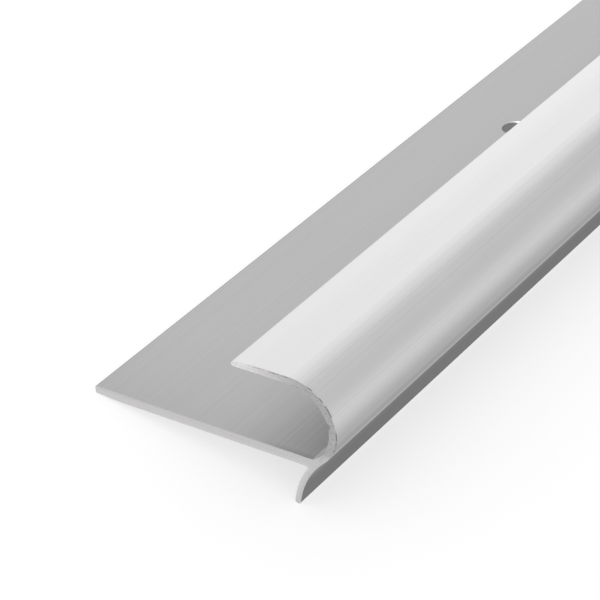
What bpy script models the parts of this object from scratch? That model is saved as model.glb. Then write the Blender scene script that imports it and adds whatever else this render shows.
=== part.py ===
"""A half-round stair nosing: one length of extruded aluminium with its screw holes.

A flat base runs under the floor covering. At its front the metal turns up and back over the
covering as a half-round nose that ends in a thin lip, and a curved fin hangs below the base
against the riser. The stock is stored as it lies on a level floor: on the fin's rounded tip
and on the lower back edge of the base.

Metres, +Z up. X runs along the stock, the nose faces -Y, and the origin is on the floor, in
the middle of the ground that the stock covers.
"""

from math import acos, asin, atan2, ceil, cos, floor, hypot, pi, radians, sin, sqrt

import bmesh
import bpy
from mathutils import Matrix, Vector

# Stock
STOCK_LENGTH = 1.000
OVERALL_WIDTH = 0.0450

# Base, which thins towards its back edge
BASE_THICKNESS = 0.0016
BACK_EDGE_THICKNESS = 0.0013
BACK_TAPER_LENGTH = 0.0054
BACK_EDGE_RADIUS = 0.00025

# Slot that takes the floor covering. Inside the nose it is round, on a circle that touches the
# lip's underside and dips a little below the top of the base.
SLOT_HEIGHT = 0.0122
SLOT_DIP = 0.0009
SLOT_CORNER_RADIUS = 0.0005

# Nose and lip. The outside of the nose is a circle that touches the lip's level top and dips
# a little below the underside of the base.
NOSE_DIP = 0.0003
NOSE_WALL = 0.0013
LIP_THICKNESS = 0.0012
LIP_REACH = 0.0178
LIP_TAPER_LENGTH = 0.0064
LIP_TIP_THICKNESS = 0.0007

# Fin that hangs against the riser
FIN_DROP = 0.00745
FIN_THICKNESS = 0.0010
FIN_RADIUS = 0.0159
FIN_START = radians(48.0)
FIN_ROOT_RADIUS = 0.0003

# Screw holes through the base, in a row along the middle of the length
HOLE_DIAMETER = 0.0046
HOLE_FROM_BACK = 0.0151
HOLE_FROM_END = 0.100
HOLE_PITCH = 0.200
HOLE_SIDES = 48
CUTTER_OVERLAP = 0.002

# How far the straight steps of a round stretch may lie from the true arc
ARC_DEVIATION = 0.000004

# Points nearer together than this are one point
SAME_POINT = 0.000001

SHARP_ANGLE = radians(30)
ALUMINIUM_COLOUR = (0.56, 0.56, 0.56, 1.0)
ALUMINIUM_ROUGHNESS = 0.38

# Heights and centres of the section, from the sizes above. The section is drawn with its
# first coordinate running back from the front of the nose, and its second one running up
# from the underside of the base.
LIP_UNDERSIDE = BASE_THICKNESS + SLOT_HEIGHT
LIP_TOP = LIP_UNDERSIDE + LIP_THICKNESS
SLOT_RADIUS = (SLOT_HEIGHT + SLOT_DIP) / 2
NOSE_RADIUS = (LIP_TOP + NOSE_DIP) / 2
SLOT_CENTRE = (NOSE_WALL + SLOT_RADIUS, LIP_UNDERSIDE - SLOT_RADIUS)
NOSE_CENTRE = (NOSE_RADIUS, LIP_TOP - NOSE_RADIUS)
BACK_EDGE_CENTRE = OVERALL_WIDTH - BACK_EDGE_RADIUS
UPPER_BACK_CENTRE = (BACK_EDGE_CENTRE, BASE_THICKNESS - BACK_EDGE_RADIUS)
LOWER_BACK_CENTRE = (BACK_EDGE_CENTRE, BASE_THICKNESS - BACK_EDGE_THICKNESS + BACK_EDGE_RADIUS)


def point_at(centre, radius, angle):
    """The point at an angle on a circle."""
    return centre[0] + radius * cos(angle), centre[1] + radius * sin(angle)


def angle_towards(start, target):
    """The direction from one point to another."""
    return atan2(target[1] - start[1], target[0] - start[0])


def arc(centre, radius, start, end):
    """Points on a circle from one angle to another, both ends included."""
    longest_step = 2 * acos(1 - ARC_DEVIATION / radius)
    steps = max(2, ceil(abs(end - start) / longest_step))
    return [point_at(centre, radius, start + (end - start) * i / steps) for i in range(steps + 1)]


def lower_tangent(first, first_radius, second, second_radius):
    """Direction of the straight line that touches two circles from below."""
    distance = hypot(second[0] - first[0], second[1] - first[1])
    return angle_towards(first, second) - asin((second_radius - first_radius) / distance)


# The fin's two faces are arcs about one centre in front of it. Its outer face runs on from
# the nose without a corner, so the two circles touch where the fin starts.
FIN_CENTRE = point_at(NOSE_CENTRE, NOSE_RADIUS + FIN_RADIUS, pi + FIN_START)
FIN_TIP_RADIUS = FIN_THICKNESS / 2
FIN_MIDDLE_RADIUS = FIN_RADIUS + FIN_TIP_RADIUS
FIN_TIP_ANGLE = asin((FIN_TIP_RADIUS - FIN_DROP - FIN_CENTRE[1]) / FIN_MIDDLE_RADIUS)
FIN_TIP_CENTRE = point_at(FIN_CENTRE, FIN_MIDDLE_RADIUS, FIN_TIP_ANGLE)

# The stock rests on the fin's tip and on the lower back edge, so it leans back.
RESTING_TILT = lower_tangent(FIN_TIP_CENTRE, FIN_TIP_RADIUS, LOWER_BACK_CENTRE, BACK_EDGE_RADIUS)


def slot_outline():
    """From the top of the base, round the inside of the nose, to the start of the lip."""
    corner_height = BASE_THICKNESS + SLOT_CORNER_RADIUS
    reach = SLOT_RADIUS - SLOT_CORNER_RADIUS
    forward = sqrt(reach ** 2 - (SLOT_CENTRE[1] - corner_height) ** 2)
    corner = (SLOT_CENTRE[0] - forward, corner_height)
    meeting = angle_towards(SLOT_CENTRE, corner)
    points = arc(corner, SLOT_CORNER_RADIUS, -pi / 2, meeting)
    points += arc(SLOT_CENTRE, SLOT_RADIUS, meeting, -3 * pi / 2)
    return points


def lip_outline():
    """Round the lip's tip, and along its tapered top to where the top is level."""
    tip_radius = LIP_TIP_THICKNESS / 2
    tip = (LIP_REACH - tip_radius, LIP_UNDERSIDE + tip_radius)
    level_end = LIP_REACH - LIP_TAPER_LENGTH
    along = tip[0] - level_end
    below = LIP_TOP - tip[1]
    taper_radius = (along ** 2 + below ** 2 - tip_radius ** 2) / (2 * (below - tip_radius))
    taper_centre = (level_end, LIP_TOP - taper_radius)
    meeting = angle_towards(taper_centre, tip)
    points = arc(tip, tip_radius, -pi / 2, meeting)
    points += arc(taper_centre, taper_radius, meeting, pi / 2)
    return points


def nose_and_fin_outline():
    """Round the outside of the nose, down the fin, round its tip and up to the base."""
    inner_radius = FIN_RADIUS + FIN_THICKNESS
    root_reach = inner_radius + FIN_ROOT_RADIUS
    root_angle = asin((-FIN_ROOT_RADIUS - FIN_CENTRE[1]) / root_reach)
    root = point_at(FIN_CENTRE, root_reach, root_angle)
    points = arc(NOSE_CENTRE, NOSE_RADIUS, pi / 2, pi + FIN_START)
    points += arc(FIN_CENTRE, FIN_RADIUS, FIN_START, FIN_TIP_ANGLE)
    points += arc(FIN_TIP_CENTRE, FIN_TIP_RADIUS, FIN_TIP_ANGLE + pi, FIN_TIP_ANGLE + 2 * pi)
    points += arc(FIN_CENTRE, inner_radius, FIN_TIP_ANGLE, root_angle)
    points += arc(root, FIN_ROOT_RADIUS, root_angle + pi, pi / 2)
    return points


def back_edge_outline():
    """Along the tapered underside and round the back edge to the top of the base."""
    taper_start = (OVERALL_WIDTH - BACK_TAPER_LENGTH, 0.0)
    slope = lower_tangent(taper_start, 0.0, LOWER_BACK_CENTRE, BACK_EDGE_RADIUS)
    points = [taper_start]
    points += arc(LOWER_BACK_CENTRE, BACK_EDGE_RADIUS, slope - pi / 2, 0.0)
    points += arc(UPPER_BACK_CENTRE, BACK_EDGE_RADIUS, 0.0, pi / 2)
    return points


def section_outline():
    """The closed outline of the section, with each point once."""
    stretches = slot_outline() + lip_outline() + nose_and_fin_outline() + back_edge_outline()
    points = []
    for point in stretches:
        if not points or hypot(point[0] - points[-1][0], point[1] - points[-1][1]) > SAME_POINT:
            points.append(point)
    return points


def hole_positions():
    """Places of the screw holes along the length, in a row centred on the stock."""
    room = (STOCK_LENGTH - 2 * HOLE_FROM_END) / HOLE_PITCH
    spaces = floor(round(room, 3))
    return [HOLE_PITCH * (i - spaces / 2) for i in range(spaces + 1)]


def resting_place(outline):
    """Turns the level stock to the way it lies, and brings it down to the floor."""
    lean = Matrix.Rotation(-RESTING_TILT, 4, "X")
    leaning = [lean @ Vector((0.0, y, z)) for y, z in outline]
    middle = (min(p.y for p in leaning) + max(p.y for p in leaning)) / 2
    lowest = min(p.z for p in leaning)
    return Matrix.Translation((0.0, -middle, -lowest)) @ lean


def clear_scene():
    """Removes whatever the file holds, so that the script can be run again."""
    for obj in list(bpy.data.objects):
        bpy.data.objects.remove(obj, do_unlink=True)


def new_collection(name):
    """A collection linked to the scene."""
    collection = bpy.data.collections.new(name)
    bpy.context.scene.collection.children.link(collection)
    return collection


def satin_aluminium():
    """The plain, slightly dull surface of an extrusion as it leaves the die."""
    material = bpy.data.materials.new("satin_aluminium")
    material.use_nodes = True
    shader = material.node_tree.nodes["Principled BSDF"]
    shader.inputs["Base Color"].default_value = ALUMINIUM_COLOUR
    shader.inputs["Metallic"].default_value = 1.0
    shader.inputs["Roughness"].default_value = ALUMINIUM_ROUGHNESS
    return material


def extrude_section(name, outline, placement):
    """Draws the section as a filled curve, and draws it out to the stock's length."""
    curve = bpy.data.curves.new(name, "CURVE")
    curve.dimensions = "2D"
    curve.fill_mode = "BOTH"
    curve.extrude = STOCK_LENGTH / 2
    spline = curve.splines.new("POLY")
    spline.points.add(len(outline) - 1)
    for point, (y, z) in zip(spline.points, outline):
        point.co = (y, z, 0.0, 1.0)
    spline.use_cyclic_u = True
    drawn = bpy.data.objects.new(name + "_curve", curve)
    bpy.context.scene.collection.objects.link(drawn)

    # The curve's own axes are the section's two and the stock's length, in that order.
    section_axes = Matrix(((0, 0, 1, 0), (1, 0, 0, 0), (0, 1, 0, 0), (0, 0, 0, 1)))
    drawn.matrix_world = placement @ section_axes
    return drawn


def curve_to_mesh(drawn, name, collection):
    """Makes a closed mesh object of a filled curve, whose caps come loose."""
    bpy.context.view_layer.update()
    evaluated = drawn.evaluated_get(bpy.context.evaluated_depsgraph_get())
    mesh = bpy.data.meshes.new_from_object(evaluated)
    mesh.name = name
    bm = bmesh.new()
    bm.from_mesh(mesh)
    bmesh.ops.remove_doubles(bm, verts=bm.verts, dist=SAME_POINT)
    bm.to_mesh(mesh)
    bm.free()
    solid = bpy.data.objects.new(name, mesh)
    solid.matrix_world = drawn.matrix_world
    collection.objects.link(solid)
    bpy.data.objects.remove(drawn, do_unlink=True)
    return solid


def cut_hole(solid, along, placement, collection):
    """Drills one screw hole straight through the base."""
    bpy.ops.mesh.primitive_cylinder_add(
        vertices=HOLE_SIDES,
        radius=HOLE_DIAMETER / 2,
        depth=BASE_THICKNESS + 2 * CUTTER_OVERLAP,
    )
    cutter = bpy.context.object
    cutter.name = f"screw_hole_{along * 1000:+.0f}"
    middle_of_base = (along, OVERALL_WIDTH - HOLE_FROM_BACK, BASE_THICKNESS / 2)
    cutter.matrix_world = placement @ Matrix.Translation(middle_of_base)
    cutter.hide_render = True
    cutter.display_type = "WIRE"
    for owner in list(cutter.users_collection):
        owner.objects.unlink(cutter)
    collection.objects.link(cutter)

    cut = solid.modifiers.new(cutter.name, "BOOLEAN")
    cut.operation = "DIFFERENCE"
    cut.solver = "EXACT"
    cut.object = cutter


def build():
    """Models the stock."""
    clear_scene()
    parts = new_collection("stair_nosing")
    cutters = new_collection("cutters")

    outline = section_outline()
    placement = resting_place(outline)
    drawn = extrude_section("nosing_profile", outline, placement)
    profile = curve_to_mesh(drawn, "nosing_profile", parts)
    profile.data.materials.clear()
    profile.data.materials.append(satin_aluminium())
    for along in hole_positions():
        cut_hole(profile, along, placement, cutters)
    profile.data.shade_smooth()
    profile.data.set_sharp_from_angle(angle=SHARP_ANGLE)


build()
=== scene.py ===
# %% [markdown]
# # A half-round stair nosing, dressed for its picture
#
# A stair nosing is a strip of metal for the front edge of a step. This one is a single length
# of extruded aluminium: a flat base that lies under the floor covering, a half-round nose that
# curls back over the covering and ends in a thin lip, and a short curved fin against the riser.
#
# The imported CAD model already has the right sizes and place, so this script loads it first and
# then makes a finer skin for it: rounder curves, saw cuts with their burrs, and a real finish.

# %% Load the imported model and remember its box
from math import asin, atan2, ceil, cos, floor, hypot, pi, radians, sin, sqrt

import bmesh
import bpy
import numpy as np
from mathutils import Matrix, Vector, noise


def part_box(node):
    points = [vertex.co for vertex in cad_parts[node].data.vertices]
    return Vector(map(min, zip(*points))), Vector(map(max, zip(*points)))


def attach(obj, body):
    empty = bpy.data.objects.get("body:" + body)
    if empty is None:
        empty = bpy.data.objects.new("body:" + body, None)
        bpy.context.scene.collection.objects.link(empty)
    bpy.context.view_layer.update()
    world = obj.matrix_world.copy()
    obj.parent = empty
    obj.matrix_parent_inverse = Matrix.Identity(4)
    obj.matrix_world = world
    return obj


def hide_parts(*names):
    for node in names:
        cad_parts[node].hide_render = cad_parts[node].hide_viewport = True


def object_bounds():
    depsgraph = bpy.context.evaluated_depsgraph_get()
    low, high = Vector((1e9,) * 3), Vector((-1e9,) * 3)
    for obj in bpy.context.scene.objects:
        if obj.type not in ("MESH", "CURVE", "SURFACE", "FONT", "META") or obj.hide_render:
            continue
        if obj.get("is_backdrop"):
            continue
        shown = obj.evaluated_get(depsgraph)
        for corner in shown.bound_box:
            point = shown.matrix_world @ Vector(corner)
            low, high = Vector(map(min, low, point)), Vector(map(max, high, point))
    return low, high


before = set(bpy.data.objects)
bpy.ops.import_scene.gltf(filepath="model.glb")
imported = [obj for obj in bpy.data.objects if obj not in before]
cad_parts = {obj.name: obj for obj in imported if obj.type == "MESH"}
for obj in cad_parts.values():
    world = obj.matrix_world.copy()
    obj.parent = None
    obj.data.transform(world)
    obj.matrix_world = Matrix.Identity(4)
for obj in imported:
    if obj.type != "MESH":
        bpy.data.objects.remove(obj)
cad_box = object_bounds()
cad_low, cad_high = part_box("nosing_profile")
print("CAD box in mm:", [round(v * 1000, 2) for v in cad_high - cad_low])

# %% [markdown]
# ## The section
#
# An extrusion is one drawing pushed through a die, so everything starts from its section. A
# section can be traced by hand, or worked out from a few sizes. We work it out, because then
# the arcs meet without corners. The first coordinate runs back from the front of the nose, the
# second one up from the underside of the base, both in metres.

# %% Sizes of the section
STOCK_LENGTH = 1.000
OVERALL_WIDTH = 0.0450
BASE_THICKNESS = 0.0016
BACK_EDGE_THICKNESS = 0.0013
BACK_TAPER_LENGTH = 0.0054
BACK_EDGE_RADIUS = 0.00025
SLOT_HEIGHT = 0.0122
SLOT_DIP = 0.0009
SLOT_CORNER_RADIUS = 0.0005
NOSE_DIP = 0.0003
NOSE_WALL = 0.0013
LIP_THICKNESS = 0.0012
LIP_REACH = 0.0178
LIP_TAPER_LENGTH = 0.0064
LIP_TIP_THICKNESS = 0.0007
FIN_DROP = 0.00745
FIN_THICKNESS = 0.0010
FIN_RADIUS = 0.0159
FIN_START = radians(48.0)
FIN_ROOT_RADIUS = 0.0003

LIP_UNDERSIDE = BASE_THICKNESS + SLOT_HEIGHT
LIP_TOP = LIP_UNDERSIDE + LIP_THICKNESS
SLOT_RADIUS = (SLOT_HEIGHT + SLOT_DIP) / 2
NOSE_RADIUS = (LIP_TOP + NOSE_DIP) / 2
SLOT_CENTRE = (NOSE_WALL + SLOT_RADIUS, LIP_UNDERSIDE - SLOT_RADIUS)
NOSE_CENTRE = (NOSE_RADIUS, LIP_TOP - NOSE_RADIUS)
print("nose radius in mm:", round(NOSE_RADIUS * 1000, 3))

# %% [markdown]
# The points along the section have to be close together, because the saw's burrs are only a
# tenth of a millimetre wide. These helpers walk along a straight line or round an arc in steps
# of that size.

# %% Helpers that walk along the section
POINT_STEP = 0.00010
LARGEST_TURN = radians(9)


def point_at(centre, radius, angle):
    """The point at an angle on a circle."""
    return centre[0] + radius * cos(angle), centre[1] + radius * sin(angle)


def angle_towards(start, target):
    """The direction from one point to another."""
    return atan2(target[1] - start[1], target[0] - start[0])


def walk_arc(centre, radius, start, end):
    """Points round an arc, both ends included."""
    turn = min(POINT_STEP / radius, LARGEST_TURN)
    steps = max(2, ceil(abs(end - start) / turn))
    return [point_at(centre, radius, start + (end - start) * i / steps) for i in range(steps + 1)]


def walk_line(start, end):
    """Points along a straight line, both ends included."""
    steps = max(1, ceil(hypot(end[0] - start[0], end[1] - start[1]) / POINT_STEP))
    shares = [i / steps for i in range(steps + 1)]
    return [tuple(a + (b - a) * s for a, b in zip(start, end)) for s in shares]


def lower_tangent(first, first_radius, second, second_radius):
    """Direction of the straight line that touches two circles from below."""
    distance = hypot(second[0] - first[0], second[1] - first[1])
    return angle_towards(first, second) - asin((second_radius - first_radius) / distance)


# %% [markdown]
# Inside the nose the slot is round. It meets the flat base in a small rounded corner, which
# comes out of the die that way and keeps the corner from cracking.

# %% The slot, round the inside of the nose
corner_height = BASE_THICKNESS + SLOT_CORNER_RADIUS
corner_reach = SLOT_RADIUS - SLOT_CORNER_RADIUS
corner_forward = sqrt(corner_reach ** 2 - (SLOT_CENTRE[1] - corner_height) ** 2)
slot_corner = (SLOT_CENTRE[0] - corner_forward, corner_height)
corner_meeting = angle_towards(SLOT_CENTRE, slot_corner)
stretches = {}
stretches["slot corner"] = walk_arc(slot_corner, SLOT_CORNER_RADIUS, -pi / 2, corner_meeting)
stretches["slot"] = walk_arc(SLOT_CENTRE, SLOT_RADIUS, corner_meeting, -3 * pi / 2)
print("slot radius in mm:", round(SLOT_RADIUS * 1000, 3))

# %% [markdown]
# The lip is thin already, and its top tapers to a still thinner, rounded tip, so that a foot
# doesn't catch on it. The taper is a long flat arc. It has to touch both the level top and the
# round tip, and that alone decides its radius.

# %% The lip's rounded tip and its tapered top
tip_radius = LIP_TIP_THICKNESS / 2
tip_centre = (LIP_REACH - tip_radius, LIP_UNDERSIDE + tip_radius)
level_end = LIP_REACH - LIP_TAPER_LENGTH
tip_along = tip_centre[0] - level_end
tip_below = LIP_TOP - tip_centre[1]
taper_radius = (tip_along ** 2 + tip_below ** 2 - tip_radius ** 2) / (2 * (tip_below - tip_radius))
taper_centre = (level_end, LIP_TOP - taper_radius)
tip_meeting = angle_towards(taper_centre, tip_centre)
stretches["lip underside"] = walk_line(stretches["slot"][-1], (tip_centre[0], LIP_UNDERSIDE))
stretches["lip tip"] = walk_arc(tip_centre, tip_radius, -pi / 2, tip_meeting)
stretches["lip taper"] = walk_arc(taper_centre, taper_radius, tip_meeting, pi / 2)
stretches["lip top"] = walk_line((level_end, LIP_TOP), (NOSE_CENTRE[0], LIP_TOP))
print("radius of the lip's taper in mm:", round(taper_radius * 1000, 1))

# %% [markdown]
# The nose is one arc, from the top of the lip round to the riser. The outside of the fin starts
# where the nose ends and bends the other way. Both centres lie on one line through the point
# where they meet, which is what makes the change smooth. The fin's tip is a small half circle.

# %% The nose, and the fin that runs on from it
fin_centre = point_at(NOSE_CENTRE, NOSE_RADIUS + FIN_RADIUS, pi + FIN_START)
fin_tip_radius = FIN_THICKNESS / 2
fin_middle_radius = FIN_RADIUS + fin_tip_radius
fin_tip_angle = asin((fin_tip_radius - FIN_DROP - fin_centre[1]) / fin_middle_radius)
fin_tip = point_at(fin_centre, fin_middle_radius, fin_tip_angle)
fin_back_radius = FIN_RADIUS + FIN_THICKNESS
root_reach = fin_back_radius + FIN_ROOT_RADIUS
root_angle = asin((-FIN_ROOT_RADIUS - fin_centre[1]) / root_reach)
root_centre = point_at(fin_centre, root_reach, root_angle)

stretches["nose"] = walk_arc(NOSE_CENTRE, NOSE_RADIUS, pi / 2, pi + FIN_START)
stretches["fin front"] = walk_arc(fin_centre, FIN_RADIUS, FIN_START, fin_tip_angle)
tip_turn = (fin_tip_angle + pi, fin_tip_angle + 2 * pi)
stretches["fin tip"] = walk_arc(fin_tip, fin_tip_radius, *tip_turn)
stretches["fin back"] = walk_arc(fin_centre, fin_back_radius, fin_tip_angle, root_angle)
stretches["fin root"] = walk_arc(root_centre, FIN_ROOT_RADIUS, root_angle + pi, pi / 2)
print("lowest point of the fin in mm:", round((fin_tip[1] - fin_tip_radius) * 1000, 2))

# %% [markdown]
# The base is flat on top. Its underside rises a little towards the back edge, and that edge is
# rounded above and below.

# %% The base, with its tapered and rounded back edge
back_middle = OVERALL_WIDTH - BACK_EDGE_RADIUS
lower_back = (back_middle, BASE_THICKNESS - BACK_EDGE_THICKNESS + BACK_EDGE_RADIUS)
upper_back = (back_middle, BASE_THICKNESS - BACK_EDGE_RADIUS)
taper_start = (OVERALL_WIDTH - BACK_TAPER_LENGTH, 0.0)
taper_slope = lower_tangent(taper_start, 0.0, lower_back, BACK_EDGE_RADIUS)
taper_end = point_at(lower_back, BACK_EDGE_RADIUS, taper_slope - pi / 2)
stretches["underside"] = walk_line(stretches["fin root"][-1], taper_start)
stretches["back taper"] = walk_line(taper_start, taper_end)
stretches["lower back"] = walk_arc(lower_back, BACK_EDGE_RADIUS, taper_slope - pi / 2, 0.0)
stretches["upper back"] = walk_arc(upper_back, BACK_EDGE_RADIUS, 0.0, pi / 2)
base_front = stretches["slot corner"][0]
stretches["base top"] = walk_line((back_middle, BASE_THICKNESS), base_front)
print(len(stretches), "stretches make the section")

# %% [markdown]
# Now the stretches are joined into one closed line. For every point we also work out how far
# it lies behind the front of the nose, its height, which way is outwards, and how far along the
# line it is. All of these are used for the burrs later.

# %% One closed line, with its outward directions
SAME_POINT = 0.000004


def distance_between(first, second):
    """How far two points are apart."""
    return hypot(first[0] - second[0], first[1] - second[1])


points = []
names = []
for name, stretch in stretches.items():
    for point in stretch:
        if not points or distance_between(point, points[-1]) > SAME_POINT:
            points.append(point)
            names.append(name)
if distance_between(points[0], points[-1]) <= SAME_POINT:
    points.pop()
    names.pop()
section = np.array(points)
stretch_of = np.array(names)
setback = section[:, 0]
height = section[:, 1]
ahead = np.roll(section, -1, axis=0) - section
along = ahead / np.linalg.norm(ahead, axis=1)[:, None]
mean_along = along + np.roll(along, 1, axis=0)
mean_along /= np.linalg.norm(mean_along, axis=1)[:, None]
outward = np.stack([-mean_along[:, 1], mean_along[:, 0]], axis=1)
run = np.concatenate([[0.0], np.cumsum(np.linalg.norm(ahead, axis=1))[:-1]])
enclosed = np.sum(setback * np.roll(height, -1) - np.roll(setback, -1) * height)
if enclosed > 0:
    outward = -outward
print(len(section), "points round the section,", round(run[-1] * 1000, 1), "mm")

# %% [markdown]
# ## Where the stock lies
#
# The strip is stored loose on a level floor, so it rests on the fin's tip and on the back edge
# and leans back by about twelve degrees. The lean follows from the two round edges that touch
# the floor. The CAD box then says exactly where to put it down. Our skin is a hair thinner
# than the CAD solid, five thousandths of a millimetre, so that it never pokes out of it.

# %% The lean and the place of the stock
SKIN_INSET = 0.000005
RESTING_TILT = lower_tangent(fin_tip, fin_tip_radius, lower_back, BACK_EDGE_RADIUS)
lean = Matrix.Rotation(-RESTING_TILT, 4, "X")
leaning = np.array([(lean @ Vector((0.0, y, z)))[1:] for y, z in section])
middle = (leaning[:, 0].min() + leaning[:, 0].max()) / 2
cad_middle = (cad_low + cad_high) / 2
settle = Vector((cad_middle.x, cad_middle.y - middle, cad_low.z - leaning[:, 1].min()))
placement = Matrix.Translation(settle) @ lean
print("lean in degrees:", round(RESTING_TILT * 180 / pi, 3))

# %% [markdown]
# ## The saw cuts
#
# The strip was cut to length with a circular saw. Close up such a cut isn't clean: the teeth
# push a thin wire of metal over the edge, tear small flecks out of it and leave a groove next
# to it. All that could be painted on, but then it would vanish from the mesh, so we model it
# with a few extra rings of points that follow the section just behind, at and inside the edge.
#
# Smooth random numbers decide how strong the burr is at each point. Blender's own noise gives
# the same numbers each time, so the picture never changes from one run to the next.

# %% Smooth random numbers along the section
def wobble(length, seed):
    """A smooth random number from -1 to 1 for each point, which changes over a given length."""
    return np.array([noise.noise(Vector((r / length, seed, 0.5 * seed))) for r in run]) * 1.6


# %% [markdown]
# Damage never starts or stops at a hard line, so each place on the section is picked with a soft
# step. These helpers give one number for each point: 1 inside the place, 0 outside it, and
# something in between at its borders. Multiplied together they pick smaller places.

# %% Helpers that pick a place on the section
def above(values, low, high):
    """0 up to low, 1 from high on, and a soft step in between."""
    share = np.clip((values - low) / (high - low), 0.0, 1.0)
    return share * share * (3 - 2 * share)


def below(values, low, high):
    """1 up to low, 0 from high on, and a soft step in between."""
    return 1 - above(values, low, high)


def near_point(place, reach):
    """1 at a place on the section, fading to 0 at a distance from it."""
    return below(np.hypot(setback - place[0], height - place[1]), 0.35 * reach, reach)


def on(*stretch_names):
    """1 for the points of these stretches, 0 for the others."""
    return np.isin(stretch_of, stretch_names) * 1.0


print("points on the nose:", int(on("nose").sum()))

# %% [markdown]
# The burr isn't the same all round. The base and the fin were cut almost clean. The lip has a
# thin groove just below its upper edge. The nose has small flecks torn out of its front and a
# fine line behind its upper edge. Inside, a wire of metal stands up at the edge. Each kind of
# damage gets a soft mask of its own.

# %% Where the saw tore the edge
lip_upper = on("lip tip", "lip taper", "lip top")
lip_rim = lip_upper * above(setback, 0.0070, 0.0082) * below(setback, 0.0134, 0.0150)
nose_top = on("nose", "lip top") * above(height, 0.0095, 0.0105) * below(setback, 0.0038, 0.0048)
nose_front = on("nose") * above(height, 0.0034, 0.0044) * below(height, 0.0085, 0.0095)
slot_upper = on("slot", "lip underside") * above(height, 0.0120, 0.0126)
slot_upper = slot_upper * below(setback, 0.0068, 0.0078)
slot_low = on("slot", "slot corner") * below(height, 0.0035, 0.0045)
print("points along the groove:", np.count_nonzero(lip_rim))
print("points among the flecks:", np.count_nonzero(nose_front))

# %% [markdown]
# The edge isn't equally bright all round either, and that is painted into its colour. The tip of
# the lip gets a painted highlight full of bright specks, and a painted highlight runs as a bright
# line under the lip. The lower rim of the base and the back of the fin get painted highlights too.
# On top, painted shade darkens the front of the base right at the cut, and further back it makes
# the skin of the base a little darker near the cut than elsewhere.

# %% Where the edge gets painted highlights and painted shade
# Painted shade on the top of the base near the cut.
EDGE_SHADE = 0.30
FADING_SHADE = 0.20
BASE_END_SHADE = 0.14
FRONT_BASE_END_SHADE = 0.07

# Where the edge gets painted highlights: the lip's tip and the lower rim.
tip_rim = on("lip tip")
tip_face = on("lip tip", "lip taper", "lip top", "lip underside") * above(setback, 0.0095, 0.0165)
low_rim = on("underside", "back taper", "fin root", "fin back")
# Where a painted highlight runs as a bright line under the lip.
underlip_highlight_place = on("lip underside", "slot") * above(height, 0.0120, 0.0130)
underlip_highlight_place = underlip_highlight_place * above(setback, 0.0066, 0.0086) * below(setback, 0.0118, 0.0130)
base_front_edge = on("base top") * below(setback, 0.0090, 0.0150)
# Painted shade on the base's skin a little further back from the cut.
base_end_shade = BASE_END_SHADE + FRONT_BASE_END_SHADE * below(setback, 0.0140, 0.0220)
base_end_shade = base_end_shade * on("base top") * above(setback, 0.0060, 0.0130)
print("points along the bright line:", np.count_nonzero(underlip_highlight_place))

# %% [markdown]
# The masks only say where damage may be. Smooth random numbers now decide how strong it is at
# each point, so the flecks, the wire and the groove come and go along the edge. The seed makes
# the two ends different. In one place inside the nose a painted highlight, a glint on the wire,
# is put at a given place.

# %% How strong the damage is, point by point
GLINT_PLACE = (0.00475, 0.01323)
GLINT_REACH = 0.00060
GLINT_STRENGTH = 3.0


def torn_bits(seed):
    """Flecks, line, wire, fine grain, groove, bright specks, inner shade and glint, and waves of one
    end.
    """
    fleck = above(wobble(0.00080, seed + 1.3), -0.35, 0.20) * nose_front
    line = above(wobble(0.00110, seed + 2.2), -0.35, 0.10) * np.clip(nose_top + 0.7 * slot_upper, 0, 1)
    wire = above(wobble(0.00120, seed + 7.7), -0.20, 0.30) * np.clip(slot_upper + slot_low, 0, 1)
    fine = wobble(0.00024, seed + 3.1)
    groove = above(wobble(0.00080, seed + 5.9), -0.75, 0.15) * lip_rim
    groove = groove * (0.85 + 0.40 * fine) * (1 - 0.25 * above(setback, 0.0095, 0.0115))
    # Bright specks on the lip's tip, a painted highlight.
    specks = above(wobble(0.00030, seed + 4.6), 0.00, 0.45) * tip_face
    # Painted shade in dots along the inner edge, and a painted highlight as a glint at GLINT_PLACE.
    inner_shade_and_glint = above(wobble(0.00045, seed + 6.1), -0.45, 0.10) * slot_upper
    inner_shade_and_glint = inner_shade_and_glint - GLINT_STRENGTH * near_point(GLINT_PLACE, GLINT_REACH) * on("slot")
    waves = wobble(0.00110, seed + 9.4) * lip_rim
    return fleck, line, wire, fine, groove, specks, inner_shade_and_glint, waves


# %% [markdown]
# Twelve rings make one end, from just inside the rim of the sawn face out to the plain stock.
# Each ring says three things at each of its points: how deep it lies behind the end, how far it
# stands out from the section, and how much painted light its colour gets there. Above zero it is
# painted shade, dark as in a groove or fleck. Below zero it is a painted highlight, bright as on a
# burr that catches the light. A crumb broke away inside the nose, and its notch pushes the rings
# inwards there and fades further back.

# %% Sizes of the burrs
FACE_STEP_BACK = 0.00006
FACE_MARGIN = 0.00012
CLEAN_INSET = 0.00010
GROOVE_INSET = 0.00011
GROOVE_DEPTH = 0.00008
GROOVE_HALF_WIDTH = 0.00004
WAVE_WIDTH = 0.00003
RAGGED_WIDTH = 0.00002
LOW_RIM_WIDTH = 0.00014
CLEAN_BEVEL = 0.000015
TORN_BEVEL = 0.00003
LIP_BURR = 0.00002
WIRE_HEIGHT = 0.00004
FLECK_DEPTH = 0.00005
FLECK_TAIL_DEPTH = 0.00003
FLECK_LENGTH = 0.00010
LINE_DEPTH = 0.00003
LINE_TAIL_DEPTH = 0.00002
TORN_LENGTH = 0.00016
NOTCH_TAIL = 0.00060
NOTCH_END = 0.00110
BASE_END_SHADE_TAIL = 0.00700
BASE_END_SHADE_END = 0.02000
NOTCH_PLACE = (0.00125, 0.00845)
NOTCH_REACH = 0.00070
NOTCH_DEPTH = 0.00042
# Strength of the painted highlights on the pale parts of the edge.
EDGE_HIGHLIGHT = 0.34
print("width of the torn zone in mm:", round((FACE_STEP_BACK + TORN_LENGTH) * 1000, 2))


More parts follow.
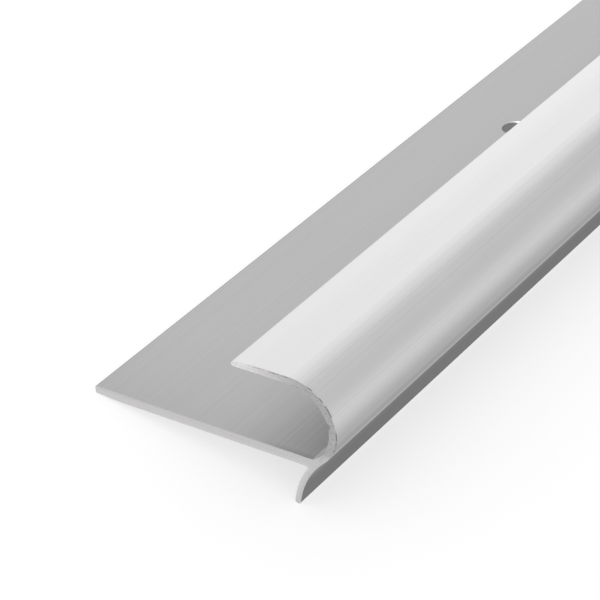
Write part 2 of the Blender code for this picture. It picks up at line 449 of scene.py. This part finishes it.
# %% The rings of one end
def end_rings(seed, with_notch):
    """Rings from the sawn face out to the plain stock: depth, outward offset and painted light."""
    fleck, line, wire, fine, groove, specks, inner_shade_and_glint, waves = torn_bits(seed)
    none = np.zeros(len(run))
    notch = none
    if with_notch:
        notch = near_point(NOTCH_PLACE, NOTCH_REACH) * on("slot") * NOTCH_DEPTH
    inset = CLEAN_INSET + GROOVE_INSET * lip_rim + WAVE_WIDTH * waves + LOW_RIM_WIDTH * low_rim
    edge = CLEAN_BEVEL + TORN_BEVEL * np.clip(lip_upper + nose_front + slot_upper, 0, 1)
    face = FACE_STEP_BACK + none
    groove_floor = face + GROOVE_DEPTH * np.clip(groove, 0, 1)
    ragged = RAGGED_WIDTH * fine * lip_rim
    bite = FLECK_DEPTH * fleck * (1 + 0.5 * fine) + LINE_DEPTH * line
    shallow_bite = FLECK_TAIL_DEPTH * fleck + LINE_TAIL_DEPTH * line

    # Painted highlights: the lip's tip and the lower rim get a paler colour.
    edge_highlight = -EDGE_HIGHLIGHT * (1.5 * tip_face + 0.5 * low_rim)
    # Painted shade in the groove, with the painted highlights of the tip and its bright specks.
    groove_tone = groove + edge_highlight - 0.7 * specks
    # A painted highlight: a bright line under the lip.
    underlip_highlight = 0.6 * underlip_highlight_place * (1 + 0.8 * fine)
    # Painted shade in dots along the inner edge, and painted highlights on the glint, rims and tip.
    inner_tone = 0.9 * inner_shade_and_glint - EDGE_HIGHLIGHT * (lip_rim + low_rim + 1.5 * tip_face) - underlip_highlight
    bits = 0.7 * fine * base_front_edge
    # Painted highlights on the wire, the tip and the lower rim, painted shade in the inner dots.
    edge_tone = 0.7 * inner_shade_and_glint - 0.5 * wire - tip_rim - EDGE_HIGHLIGHT * low_rim + bits - underlip_highlight
    # Painted shade on the base's top near the cut.
    shade = EDGE_SHADE * base_front_edge + base_end_shade
    # Painted shade in the flecks and the line behind the edge.
    outer_tone = 1.5 * fleck + 1.5 * line + shade
    return [
        (face, -inset - FACE_MARGIN - notch, edge_highlight),
        (groove_floor, -inset - GROOVE_HALF_WIDTH - notch, groove_tone),
        (groove_floor, -inset + GROOVE_HALF_WIDTH + ragged - notch, groove_tone),
        (face - LIP_BURR * lip_rim, -0.1 * inset - edge - notch, inner_tone),
        (face - WIRE_HEIGHT * wire, -edge - notch, edge_tone),
        (face + edge, -bite - notch, outer_tone + bits),
        (face + edge + FLECK_LENGTH, -shallow_bite - notch, outer_tone),
        (face + edge + TORN_LENGTH, -notch, shade),
        (face + NOTCH_TAIL, -0.3 * notch, FADING_SHADE * base_front_edge + base_end_shade),
        (face + NOTCH_END, none, base_end_shade),
        (face + BASE_END_SHADE_TAIL, none, 0.5 * base_end_shade),
        (face + BASE_END_SHADE_END, none, none),
    ]


# %% [markdown]
# ## The skin of the strip
#
# The rings of both ends and a few plain rings between them are joined into one closed mesh.
# A modeller would draw the section as a curve and extrude it. That makes the same long faces,
# but it couldn't give the two ends their torn edges, so here the mesh is built ring by ring.

# %% Join the rings into one mesh
PLAIN_SPACING = 0.05
SAWN_RINGS = 5


def ring_points(sign, depth, offset):
    """One ring, in the frame of the scene, at a depth behind an end of the stock."""
    offsets = np.minimum(offset, 0.0) - SKIN_INSET
    shape = section + outward * offsets[:, None]
    x = sign * (STOCK_LENGTH / 2 - depth)
    return [placement @ Vector((float(a), float(y), float(z))) for a, (y, z) in zip(x, shape)]


near_rings = end_rings(2.0, True)
far_rings = end_rings(31.0, False)
plain_count = floor(STOCK_LENGTH / PLAIN_SPACING) - 1
plain = np.zeros(len(section))
plain_depths = [plain + PLAIN_SPACING * (i + 1) for i in range(plain_count)]
rings = [ring_points(-1, depth, offset) for depth, offset, painted_light in near_rings]
rings += [ring_points(-1, depth, plain) for depth in plain_depths]
rings += [ring_points(1, depth, offset) for depth, offset, painted_light in reversed(far_rings)]

points_round = len(section)
corners = [tuple(p) for ring in rings for p in ring]
faces = []
for ring in range(len(rings) - 1):
    for i in range(points_round):
        j = (i + 1) % points_round
        first = ring * points_round
        second = first + points_round
        faces.append((first + i, first + j, second + j, second + i))
faces.append(tuple(reversed(range(points_round))))
faces.append(tuple(range(len(corners) - points_round, len(corners))))

skin = bpy.data.meshes.new("nosing_strip")
skin.from_pydata(corners, [], faces)
strip = bpy.data.objects.new("nosing_strip", skin)
bpy.context.scene.collection.objects.link(strip)
print(len(corners), "points and", len(faces), "faces before drilling")

# %% [markdown]
# The long faces keep the skin that the die gave them, and the rings at both ends get the finish
# of the saw cut. The skin isn't the same all round either. The top of the lip and the upper
# nose, which show on a finished stair, are satin and bright. The rest is plain mill finish. The
# front of the fin, the lower nose and the upper back edge are darkened by painted shade. In the
# slot, on the nose and on the front of the base the die drew stronger lines. On the cut itself,
# the wall of the nose is darker, because the saw dragged metal over it. These aren't separate
# pieces, so they are soft masks on the points of one mesh, and the materials read them there.

# %% Mark the sawn faces, the satin side and the painted shade of the skin
face_finish = np.zeros(len(faces), dtype=np.int32)
sawn_per_end = SAWN_RINGS * points_round
face_finish[:sawn_per_end] = 1
face_finish[-2 - sawn_per_end:] = 1
skin.polygons.foreach_set("material_index", face_finish)


def mark_points(name, values_per_ring):
    """Stores one number for each point of each ring."""
    layer = skin.attributes.new(name, "FLOAT", "POINT")
    layer.data.foreach_set("value", np.concatenate(values_per_ring).astype(np.float32))


satin = lip_upper + on("nose") * above(height, 0.0060, 0.0106)
lower_nose = on("nose") * above(height, 0.0028, 0.0043) * below(height, 0.0044, 0.0067)
fin_top = above(height, -0.0031, -0.0018)
fin_foot = below(height, -0.0068, -0.0042)
# Painted shade darkens the fin's front, the lower nose and the rounded upper back edge.
fin_painted_shade = on("fin front") * (1 - 0.13 * fin_top - 0.08 * fin_foot)
nose_painted_shade = 0.12 * on("nose") * below(height, 0.0060, 0.0106)
painted_shade = np.maximum(fin_painted_shade + 0.35 * lower_nose, nose_painted_shade) + 0.05 * lower_nose
painted_shade = painted_shade + 0.45 * on("upper back")
drawn = on("slot", "slot corner", "lip underside") + 0.7 * on("nose")
drawn = np.maximum(drawn, on("base top") * below(setback, 0.016, 0.030))
nose_wall = below(setback, 0.0045, 0.0110) * above(height, 0.0020, 0.0035)
# The painted shade and painted highlights of both ends; the plain rings between get none.
painted_end_light = [painted_light for depth, offset, painted_light in near_rings]
painted_end_light += [plain] * plain_count
painted_end_light += [painted_light for depth, offset, painted_light in reversed(far_rings)]
mark_points("satin_side", [satin] * len(rings))
mark_points("drawn_side", [drawn] * len(rings))
mark_points("painted_shade_side", [painted_shade] * len(rings))
mark_points("dragged_cut", [nose_wall] * len(rings))
mark_points("painted_end_light", painted_end_light)
print("marks on the points:", [layer.name for layer in skin.attributes if layer.data_type == "FLOAT"])

# %% [markdown]
# ## The finish of the metal
#
# Bare aluminium is a metal shader with a pale grey colour. What makes it look extruded is the
# detail: fine die lines run along the whole length, the tone wanders a little, and a few dark
# specks sit in the surface. The pattern comes from noise in the strip's own coordinates,
# squeezed so that it hardly changes along the length, which gives lines without any picture.

# %% A new metal, and noise measured in metres
def new_material(name):
    """An empty node material, and its tree, shader and coordinates."""
    material = bpy.data.materials.new(name)
    material.use_nodes = True
    tree = material.node_tree
    shader = tree.nodes["Principled BSDF"]
    shader.inputs["Metallic"].default_value = 1.0
    place = tree.nodes.new("ShaderNodeTexCoord")
    return material, tree, shader, place.outputs["Object"]


def noise_pattern(tree, place, stretch, detail=2.0, roughness=0.5):
    """Noise whose grains are this many metres apart along X, Y and Z."""
    mapping = tree.nodes.new("ShaderNodeMapping")
    mapping.inputs["Scale"].default_value = [1 / s for s in stretch]
    tree.links.new(place, mapping.inputs["Vector"])
    pattern = tree.nodes.new("ShaderNodeTexNoise")
    pattern.inputs["Scale"].default_value = 1.0
    pattern.inputs["Detail"].default_value = detail
    pattern.inputs["Roughness"].default_value = roughness
    tree.links.new(mapping.outputs["Vector"], pattern.inputs["Vector"])
    return pattern.outputs["Fac"]


# %% [markdown]
# Patterns and marks are just numbers from point to point. Two helpers do sums with them: one
# stretches a number from one range to another, the other adds, multiplies or compares.

# %% Sums with nodes
def to_range(tree, value, old_low, old_high, new_low, new_high):
    """Stretches a value from one range to another, and cuts off what is outside."""
    ranged = tree.nodes.new("ShaderNodeMapRange")
    ranged.inputs["From Min"].default_value = old_low
    ranged.inputs["From Max"].default_value = old_high
    ranged.inputs["To Min"].default_value = new_low
    ranged.inputs["To Max"].default_value = new_high
    tree.links.new(value, ranged.inputs["Value"])
    return ranged.outputs["Result"]


def calculate(tree, operation, first, second):
    """A Math node on two sockets, or a socket and a number."""
    sum_node = tree.nodes.new("ShaderNodeMath")
    sum_node.operation = operation
    for socket, value in zip(sum_node.inputs, (first, second)):
        if isinstance(value, (int, float)):
            socket.default_value = value
        else:
            tree.links.new(value, socket)
    return sum_node.outputs["Value"]


# %% [markdown]
# Two more helpers make a colour from a number, and another one reads a number that was stored
# on the points of the mesh. The painted light of the cut becomes a tone: painted shade, dark in
# the grooves and flecks, and painted highlights, up to twice as bright on the wire and the specks
# beside them.

# %% Colours, and the marks on the points
# The painted light runs from painted highlights, twice as bright, to painted shade.
SHADE_MARK_MOST = 1.6
HIGHLIGHT_MARK_MOST = -2.0
PAINTED_SHADE_TONE = 0.2
PAINTED_HIGHLIGHT_TONE = 2.0


def tinted(tree, share, first_colour, second_colour):
    """A colour between two colours, by a share from 0 to 1."""
    mix = tree.nodes.new("ShaderNodeMix")
    mix.data_type = "RGBA"
    tree.links.new(share, mix.inputs[0])
    for socket, colour in ((mix.inputs[6], first_colour), (mix.inputs[7], second_colour)):
        if isinstance(colour, tuple):
            socket.default_value = (*colour, 1.0)
        else:
            tree.links.new(colour, socket)
    return mix.outputs[2]


def scaled_colour(tree, colour, strength):
    """A colour made darker or lighter by a value."""
    scale = tree.nodes.new("ShaderNodeVectorMath")
    scale.operation = "SCALE"
    tree.links.new(colour, scale.inputs["Vector"])
    tree.links.new(strength, scale.inputs["Scale"])
    return scale.outputs["Vector"]


def point_mark(tree, name):
    """A number that was stored on the points of the mesh."""
    mark = tree.nodes.new("ShaderNodeAttribute")
    mark.attribute_name = name
    return mark.outputs["Fac"]


def painted_end_light_tone(tree):
    """Painted shade in the grooves and flecks, and painted highlights on the wire and specks beside
    them.
    """
    return to_range(tree, point_mark(tree, "painted_end_light"), HIGHLIGHT_MARK_MOST, SHADE_MARK_MOST, PAINTED_HIGHLIGHT_TONE, PAINTED_SHADE_TONE)


# %% [markdown]
# The extruded skin goes from mill finish to satin, and painted shade darkens it, by the marks on
# its points. The die lines change both its tone and, with a bump, the way it catches the light.

# %% The extruded skin, from mill finish to satin
MILL_COLOUR = (0.519, 0.519, 0.519)
SATIN_COLOUR = (0.712, 0.712, 0.712)
# The darkest colour is painted shade.
PAINTED_SHADE_COLOUR = (0.198, 0.198, 0.198)
MILL_ROUGHNESS = 0.54
SATIN_ROUGHNESS = 0.36

extruded, tree, shader, place = new_material("extruded_aluminium")
satin_share = point_mark(tree, "satin_side")
painted_shade_share = point_mark(tree, "painted_shade_side")
drawn_share = point_mark(tree, "drawn_side")
die_lines = noise_pattern(tree, place, (0.30, 0.00032, 0.00032), detail=4.0, roughness=0.6)
clouds = noise_pattern(tree, place, (0.020, 0.006, 0.006), detail=2.0)
specks = noise_pattern(tree, place, (0.0006, 0.0004, 0.0004), detail=1.0)

line_depth = to_range(tree, satin_share, 0.0, 1.0, 0.024, 0.018)
line_depth = calculate(tree, "ADD", line_depth, to_range(tree, drawn_share, 0.0, 1.0, 0.0, 0.035))
line_height = to_range(tree, die_lines, 0.3, 0.7, -1.0, 1.0)
line_tone = calculate(tree, "ADD", calculate(tree, "MULTIPLY", line_height, line_depth), 1.0)
cloud_tone = to_range(tree, clouds, 0.3, 0.7, 0.985, 1.015)
speck_tone = to_range(tree, specks, 0.82, 0.86, 1.0, 0.86)
tone = calculate(tree, "MULTIPLY", line_tone, cloud_tone)
tone = calculate(tree, "MULTIPLY", tone, speck_tone)
tone = calculate(tree, "MULTIPLY", tone, painted_end_light_tone(tree))
base_colour = tinted(tree, satin_share, MILL_COLOUR, SATIN_COLOUR)
# Painted shade darkens the colour where the skin is marked for it.
base_colour = tinted(tree, painted_shade_share, base_colour, PAINTED_SHADE_COLOUR)
tree.links.new(scaled_colour(tree, base_colour, tone), shader.inputs["Base Color"])

plain_roughness = to_range(tree, satin_share, 0.0, 1.0, MILL_ROUGHNESS, SATIN_ROUGHNESS)
rough_change = to_range(tree, clouds, 0.3, 0.7, -0.02, 0.02)
tree.links.new(calculate(tree, "ADD", plain_roughness, rough_change), shader.inputs["Roughness"])

bump = tree.nodes.new("ShaderNodeBump")
bump.inputs["Strength"].default_value = 0.12
bump.inputs["Distance"].default_value = 0.00002
tree.links.new(die_lines, bump.inputs["Height"])
tree.links.new(bump.outputs["Normal"], shader.inputs["Normal"])
print(extruded.name, "has", len(tree.nodes), "nodes")

# %% [markdown]
# A saw cut is duller and rougher than the skin. The teeth leave fine marks that sweep over the
# face in long flat arcs. The saw's centre was far below the strip, square to its base, so the
# marks run along the base and the lip and straight across the wall of the nose. This noise is
# therefore measured by the distance from that far-off centre. On the nose, where metal was
# dragged over the cut, the tone is darker and smeared.

# %% The sawn ends
SAWN_COLOUR = (0.610, 0.599, 0.602)
DRAGGED_COLOUR = (0.440, 0.440, 0.440)
SAWN_METALLIC = 0.75
SAW_CENTRE = (0.0, -0.122, -0.582)
SAW_MARK_SPACING = 0.00026

sawn, tree, shader, place = new_material("sawn_aluminium")
shader.inputs["Metallic"].default_value = SAWN_METALLIC
distance = tree.nodes.new("ShaderNodeVectorMath")
distance.operation = "DISTANCE"
distance.inputs[1].default_value = SAW_CENTRE
flatten = tree.nodes.new("ShaderNodeVectorMath")
flatten.operation = "MULTIPLY"
flatten.inputs[1].default_value = (0.0, 1.0, 1.0)
tree.links.new(place, flatten.inputs[0])
tree.links.new(flatten.outputs["Vector"], distance.inputs[0])
combine = tree.nodes.new("ShaderNodeCombineXYZ")
tree.links.new(distance.outputs["Value"], combine.inputs["X"])
saw_marks = noise_pattern(tree, combine.outputs["Vector"], (SAW_MARK_SPACING, 1.0, 1.0), detail=2.0)
grains = noise_pattern(tree, place, (0.0004, 0.0004, 0.0004), detail=3.0)
mark_tone = to_range(tree, saw_marks, 0.3, 0.7, 0.92, 1.08)
grain_tone = to_range(tree, grains, 0.3, 0.7, 0.95, 1.05)
tone = calculate(tree, "MULTIPLY", mark_tone, grain_tone)
tone = calculate(tree, "MULTIPLY", tone, painted_end_light_tone(tree))
dragged_share = point_mark(tree, "dragged_cut")
smears = noise_pattern(tree, place, (0.00030, 0.00045, 0.00016), detail=2.0)
smear_height = to_range(tree, smears, 0.3, 0.7, -0.16, 0.16)
smear_change = calculate(tree, "MULTIPLY", smear_height, dragged_share)
tone = calculate(tree, "MULTIPLY", tone, calculate(tree, "ADD", smear_change, 1.0))
cut_colour = tinted(tree, dragged_share, SAWN_COLOUR, DRAGGED_COLOUR)
tree.links.new(scaled_colour(tree, cut_colour, tone), shader.inputs["Base Color"])
tree.links.new(to_range(tree, grains, 0.3, 0.7, 0.42, 0.56), shader.inputs["Roughness"])
bump = tree.nodes.new("ShaderNodeBump")
bump.inputs["Strength"].default_value = 0.35
bump.inputs["Distance"].default_value = 0.00003
tree.links.new(calculate(tree, "ADD", saw_marks, grains), bump.inputs["Height"])
tree.links.new(bump.outputs["Normal"], shader.inputs["Normal"])
print(sawn.name, "has", len(tree.nodes), "nodes")

# %% [markdown]
# The wall of a drilled hole is smoother than the sawn ends, and the drill leaves fine rings round
# it. They are noise that changes quickly with the height and hardly at all sideways.

# %% The drilled holes
BORE_DARK = (0.736, 0.736, 0.736)
BORE_PALE = (0.864, 0.864, 0.864)
BORE_ROUGHNESS = 0.34

drilled, tree, shader, place = new_material("drilled_aluminium")
drill_rings = noise_pattern(tree, place, (0.02, 0.02, 0.00012), detail=2.0)
ring_share = to_range(tree, drill_rings, 0.3, 0.7, 0.0, 1.0)
tree.links.new(tinted(tree, ring_share, BORE_DARK, BORE_PALE), shader.inputs["Base Color"])
shader.inputs["Roughness"].default_value = BORE_ROUGHNESS
print(drilled.name, "has", len(tree.nodes), "nodes")

# %% [markdown]
# The bevel round the rim of a hole gets the palest colour and the smoothest surface of all four
# finishes, so that it shines like polished metal where it is wide. That pale colour is a painted
# highlight.

# %% The pale bevel of a hole, a painted highlight
BEVEL_HIGHLIGHT_DARK = (0.8835, 0.8835, 0.8835)
BEVEL_HIGHLIGHT_PALE = (0.930, 0.930, 0.930)
BEVEL_HIGHLIGHT_ROUGHNESS = 0.30

bevel_highlight, tree, shader, place = new_material("bevel_highlight_aluminium")
bevel_highlight_marks = noise_pattern(tree, place, (0.0010, 0.0010, 0.00010), detail=2.0)
bevel_highlight_share = to_range(tree, bevel_highlight_marks, 0.3, 0.5, 0.0, 1.0)
tree.links.new(tinted(tree, bevel_highlight_share, BEVEL_HIGHLIGHT_DARK, BEVEL_HIGHLIGHT_PALE), shader.inputs["Base Color"])
shader.inputs["Roughness"].default_value = BEVEL_HIGHLIGHT_ROUGHNESS
print(bevel_highlight.name, "has", len(tree.nodes), "nodes")

# %% [markdown]
# The order of the materials on the object matters: faces keep only a number that says which one
# they have, and the sawn faces were given number 1 above.

# %% Give the strip its four finishes
finishes = [extruded, sawn, drilled, bevel_highlight]
for finish in finishes:
    strip.data.materials.append(finish)
print("finishes:", [finish.name for finish in finishes])

# %% [markdown]
# ## The screw holes
#
# Five plain holes go through the base, 200 mm apart. Each one is cut with a Boolean modifier,
# which is then applied. The two sawn faces have more than a thousand corners each, so they are
# first cut into triangles, which the modifier handles better.

# %% Cut the two sawn faces into triangles
work = bmesh.new()
work.from_mesh(strip.data)
many_sided = [face for face in work.faces if len(face.verts) > 4]
sawn_triangles = bmesh.ops.triangulate(work, faces=many_sided)["faces"]
print(len(many_sided), "sawn faces in", len(sawn_triangles), "triangles")
work.to_mesh(strip.data)
work.free()

# %% [markdown]
# The drill is a straight shank that flares out where it leaves the metal, so one cut makes both
# the bore and its bevel. The bevel is a hair wide almost all round. Only towards the far end it
# is wide enough to see, and there its pale colour shows as a painted highlight. A high power of
# the cosine gives that width: it is 1 in one direction and falls off quickly on both sides of it.

# %% The shape of the drill
HOLE_DIAMETER = 0.0046
HOLE_SIDES = 96
LEAST_BEVEL = 0.00005
WIDE_BEVEL = 0.00033
WIDE_BEVEL_SPREAD = 8
DRILL_OVERLAP = 0.002

bore_radius = HOLE_DIAMETER / 2
drill_tip = []
drill_shank = []
drill_flare = []
for i in range(HOLE_SIDES):
    angle = 2 * pi * i / HOLE_SIDES
    bevel = LEAST_BEVEL + WIDE_BEVEL * max(cos(angle), 0.0) ** WIDE_BEVEL_SPREAD
    flare_radius = bore_radius + bevel + DRILL_OVERLAP
    drill_tip.append((*point_at((0.0, 0.0), bore_radius, angle), -DRILL_OVERLAP))
    drill_shank.append((*point_at((0.0, 0.0), bore_radius, angle), BASE_THICKNESS - bevel))
    drill_flare.append((*point_at((0.0, 0.0), flare_radius, angle), BASE_THICKNESS + DRILL_OVERLAP))
drill_points = drill_tip + drill_shank + drill_flare
drill_faces = [tuple(reversed(range(HOLE_SIDES)))]
drill_finish = [drilled]
# The bevel faces take the pale colour of the painted highlight.
for low, finish in ((0, drilled), (HOLE_SIDES, bevel_highlight)):
    for i in range(HOLE_SIDES):
        j = (i + 1) % HOLE_SIDES
        drill_faces.append((low + i, low + j, low + HOLE_SIDES + j, low + HOLE_SIDES + i))
        drill_finish.append(finish)
drill_faces.append(tuple(range(len(drill_points) - HOLE_SIDES, len(drill_points))))
drill_finish.append(drilled)
drill_finish = [finishes.index(finish) for finish in drill_finish]
print("drill with", len(drill_faces), "faces")

# %% [markdown]
# The row of holes is centred on the strip. The drill stands square to the base, so it leans with
# the strip, and it is removed again after each hole.

# %% Drill the holes
HOLE_FROM_BACK = 0.0151
HOLE_FROM_END = 0.100
HOLE_PITCH = 0.200

hole_count = 1 + floor(round((STOCK_LENGTH - 2 * HOLE_FROM_END) / HOLE_PITCH, 3))
hole_y = OVERALL_WIDTH - HOLE_FROM_BACK
for i in range(hole_count):
    hole_x = HOLE_PITCH * (i - (hole_count - 1) / 2)
    drill_mesh = bpy.data.meshes.new("drill")
    drill_mesh.from_pydata(drill_points, [], drill_faces)
    for finish in finishes:
        drill_mesh.materials.append(finish)
    drill_mesh.polygons.foreach_set("material_index", drill_finish)
    drill = bpy.data.objects.new("drill", drill_mesh)
    bpy.context.scene.collection.objects.link(drill)
    drill.matrix_world = placement @ Matrix.Translation((hole_x, hole_y, 0.0))
    cut = strip.modifiers.new("drill", "BOOLEAN")
    cut.operation = "DIFFERENCE"
    cut.solver = "EXACT"
    cut.object = drill
    bpy.context.view_layer.update()
    with_cut = strip.evaluated_get(bpy.context.evaluated_depsgraph_get())
    drilled_strip = bpy.data.meshes.new_from_object(with_cut)
    strip.modifiers.clear()
    strip.data = drilled_strip
    bpy.data.objects.remove(drill, do_unlink=True)
print(hole_count, "holes drilled;", len(strip.data.polygons), "faces now")

# %% [markdown]
# Round faces are shaded smooth and the corners between them are kept sharp. The two sawn faces
# are flat, so they are shaded flat.

# %% Smooth round faces, flat sawn faces
SHARP_ANGLE = radians(30)
SQUARE_TO_LENGTH = 0.9999
strip.data.shade_smooth()
strip.data.set_sharp_from_angle(angle=SHARP_ANGLE)
for polygon in strip.data.polygons:
    if abs(polygon.normal.x) > SQUARE_TO_LENGTH:
        polygon.use_smooth = False
flat_faces = sum(not polygon.use_smooth for polygon in strip.data.polygons)
print(flat_faces, "flat faces at the two ends")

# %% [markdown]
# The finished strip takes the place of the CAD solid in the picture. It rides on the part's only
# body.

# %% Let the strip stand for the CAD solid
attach(strip, "root")
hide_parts("nosing_profile")
print("pieces of the object: 1,", strip.name)

# %% [markdown]
# ## The floor
#
# The strip lies on a plain white floor that is large enough to fill the picture from any side.
# Most of its brightness is its own, so that it comes out white and still keeps the shadow. The
# narrow space under the base, which the fin closes off, gets a painted shadow, since hardly any
# light reaches it: the floor's own glow is lowered there. It can be seen through the screw holes.

# %% A plain white floor
FLOOR_HALF_WIDTH = 30.0
FLOOR_COLOUR = (0.40, 0.40, 0.40, 1.0)
FLOOR_GLOW = 0.635
SHADOW_GLOW_UNDER_BASE = 0.22
UNDER_BASE_FRONT = -0.0165
UNDER_BASE_BACK = 0.0205
UNDER_BASE_END = 0.490
UNDER_BASE_FADE = 0.025

floor_signs = [(-1, -1), (1, -1), (1, 1), (-1, 1)]
floor_corners = [(x * FLOOR_HALF_WIDTH, y * FLOOR_HALF_WIDTH, 0) for x, y in floor_signs]
floor_mesh = bpy.data.meshes.new("floor")
floor_mesh.from_pydata(floor_corners, [], [(0, 1, 2, 3)])
floor_plate = bpy.data.objects.new("floor", floor_mesh)
bpy.context.scene.collection.objects.link(floor_plate)
floor_paint = bpy.data.materials.new("white_floor")
floor_paint.use_nodes = True
tree = floor_paint.node_tree
shader = tree.nodes["Principled BSDF"]
shader.inputs["Base Color"].default_value = FLOOR_COLOUR
shader.inputs["Roughness"].default_value = 1.0
shader.inputs["Specular IOR Level"].default_value = 0.0
shader.inputs["Emission Color"].default_value = (1.0, 1.0, 1.0, 1.0)
rays = tree.nodes.new("ShaderNodeLightPath")
seen = calculate(tree, "MAXIMUM", rays.outputs["Is Camera Ray"], rays.outputs["Is Glossy Ray"])
seen = calculate(tree, "MAXIMUM", seen, rays.outputs["Is Transmission Ray"])
floor_place = tree.nodes.new("ShaderNodeTexCoord")
place = tree.nodes.new("ShaderNodeSeparateXYZ")
tree.links.new(floor_place.outputs["Object"], place.inputs["Vector"])
from_middle = calculate(tree, "ABSOLUTE", place.outputs["X"], 0.0)
under = to_range(tree, from_middle, UNDER_BASE_END - UNDER_BASE_FADE, UNDER_BASE_END, 1.0, 0.0)
behind_fin = calculate(tree, "GREATER_THAN", place.outputs["Y"], UNDER_BASE_FRONT)
before_back = calculate(tree, "LESS_THAN", place.outputs["Y"], UNDER_BASE_BACK)
under = calculate(tree, "MULTIPLY", under, calculate(tree, "MULTIPLY", behind_fin, before_back))
# A painted shadow: less glow on the floor under the base.
glow = to_range(tree, under, 0.0, 1.0, FLOOR_GLOW, SHADOW_GLOW_UNDER_BASE)
tree.links.new(calculate(tree, "MULTIPLY", seen, glow), shader.inputs["Emission Strength"])
floor_mesh.materials.append(floor_paint)
floor_plate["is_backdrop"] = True
print("floor of", 2 * FLOOR_HALF_WIDTH, "m square")

# %% [markdown]
# ## The light
#
# Satin metal shows the room as soft bands, so the lights are chosen by what each band of the
# strip reflects. A pale room gives the even grey.

# %% The pale room
ROOM_LIGHT = 0.715

room = bpy.data.worlds.new("pale_room")
bpy.context.scene.world = room
room.use_nodes = True
room.node_tree.nodes["Background"].inputs["Color"].default_value = (1.0, 1.0, 1.0, 1.0)
room.node_tree.nodes["Background"].inputs["Strength"].default_value = ROOM_LIGHT
print("strength of the room:", ROOM_LIGHT)

# %% [markdown]
# Four round patches of light are added to it. Two behind the strip brighten the top of the lip:
# a broad one, and a small one close to the floor. One in front, low on the right, brightens the
# nose. The fourth, above the camera, lights the floor and the sawn end. That one is very broad
# and weak, so that the lip doesn't go white when it is seen from its far end.

# %% Four soft lights
def soft_light(name, towards, half_angle, extra):
    """A round patch of light in the sky that is brighter than the room by some amount."""
    lamp = bpy.data.lights.new(name, "SUN")
    lamp.angle = 2 * radians(half_angle)
    lamp.energy = extra * pi * sin(radians(half_angle)) ** 2
    placed = bpy.data.objects.new(name, lamp)
    placed.rotation_mode = "QUATERNION"
    placed.rotation_quaternion = Vector(towards).to_track_quat("Z", "Y")
    bpy.context.scene.collection.objects.link(placed)
    print(name, "strength", round(lamp.energy, 3))
    return placed


soft_light("back_light", (0.785, 0.570, 0.242), 33, 0.41)
soft_light("low_back_light", (0.80, 0.585, 0.13), 10, 0.22)
soft_light("front_light", (0.67, -0.74, 0.12), 14, 0.16)
soft_light("camera_side_light", (-0.70, 0.0, 0.71), 52, 0.48)

# %% [markdown]
# ## The camera
#
# The picture was taken from close by with a long lens, from above the near end. A camera that
# is aimed at a point is easy to read: a place, a target and a slight turn about the line of
# sight.

# %% The camera
CAMERA_PLACE = Vector((-0.72521, -0.14689, 0.24474))
CAMERA_TARGET = Vector((-0.48304, -0.00279, 0.02071))
CAMERA_ROLL = 6.606
PICTURE_SIDE = 600
FOCAL_LENGTH_IN_PIXELS = 2430
SENSOR_WIDTH = 36.0

lens = bpy.data.cameras.new("camera")
lens.sensor_width = SENSOR_WIDTH
lens.lens = SENSOR_WIDTH * FOCAL_LENGTH_IN_PIXELS / PICTURE_SIDE
lens.clip_start = 0.01
lens.clip_end = 100.0
camera = bpy.data.objects.new("camera", lens)
bpy.context.scene.collection.objects.link(camera)
sight = (CAMERA_TARGET - CAMERA_PLACE).to_track_quat("-Z", "Y").to_matrix().to_4x4()
turn = Matrix.Rotation(radians(CAMERA_ROLL), 4, "Z")
camera.matrix_world = Matrix.Translation(CAMERA_PLACE) @ sight @ turn
bpy.context.scene.camera = camera
bpy.context.scene.view_settings.view_transform = "Standard"

# %% [markdown]
# ## The size of the dressed strip
#
# The dressed strip has to keep the size of the CAD model, so both boxes are printed.

# %% Print the two boxes
dressed_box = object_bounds()
for name, box in (("CAD", cad_box), ("dressed", dressed_box)):
    print(name, [[round(v * 1000, 3) for v in corner] for corner in box])
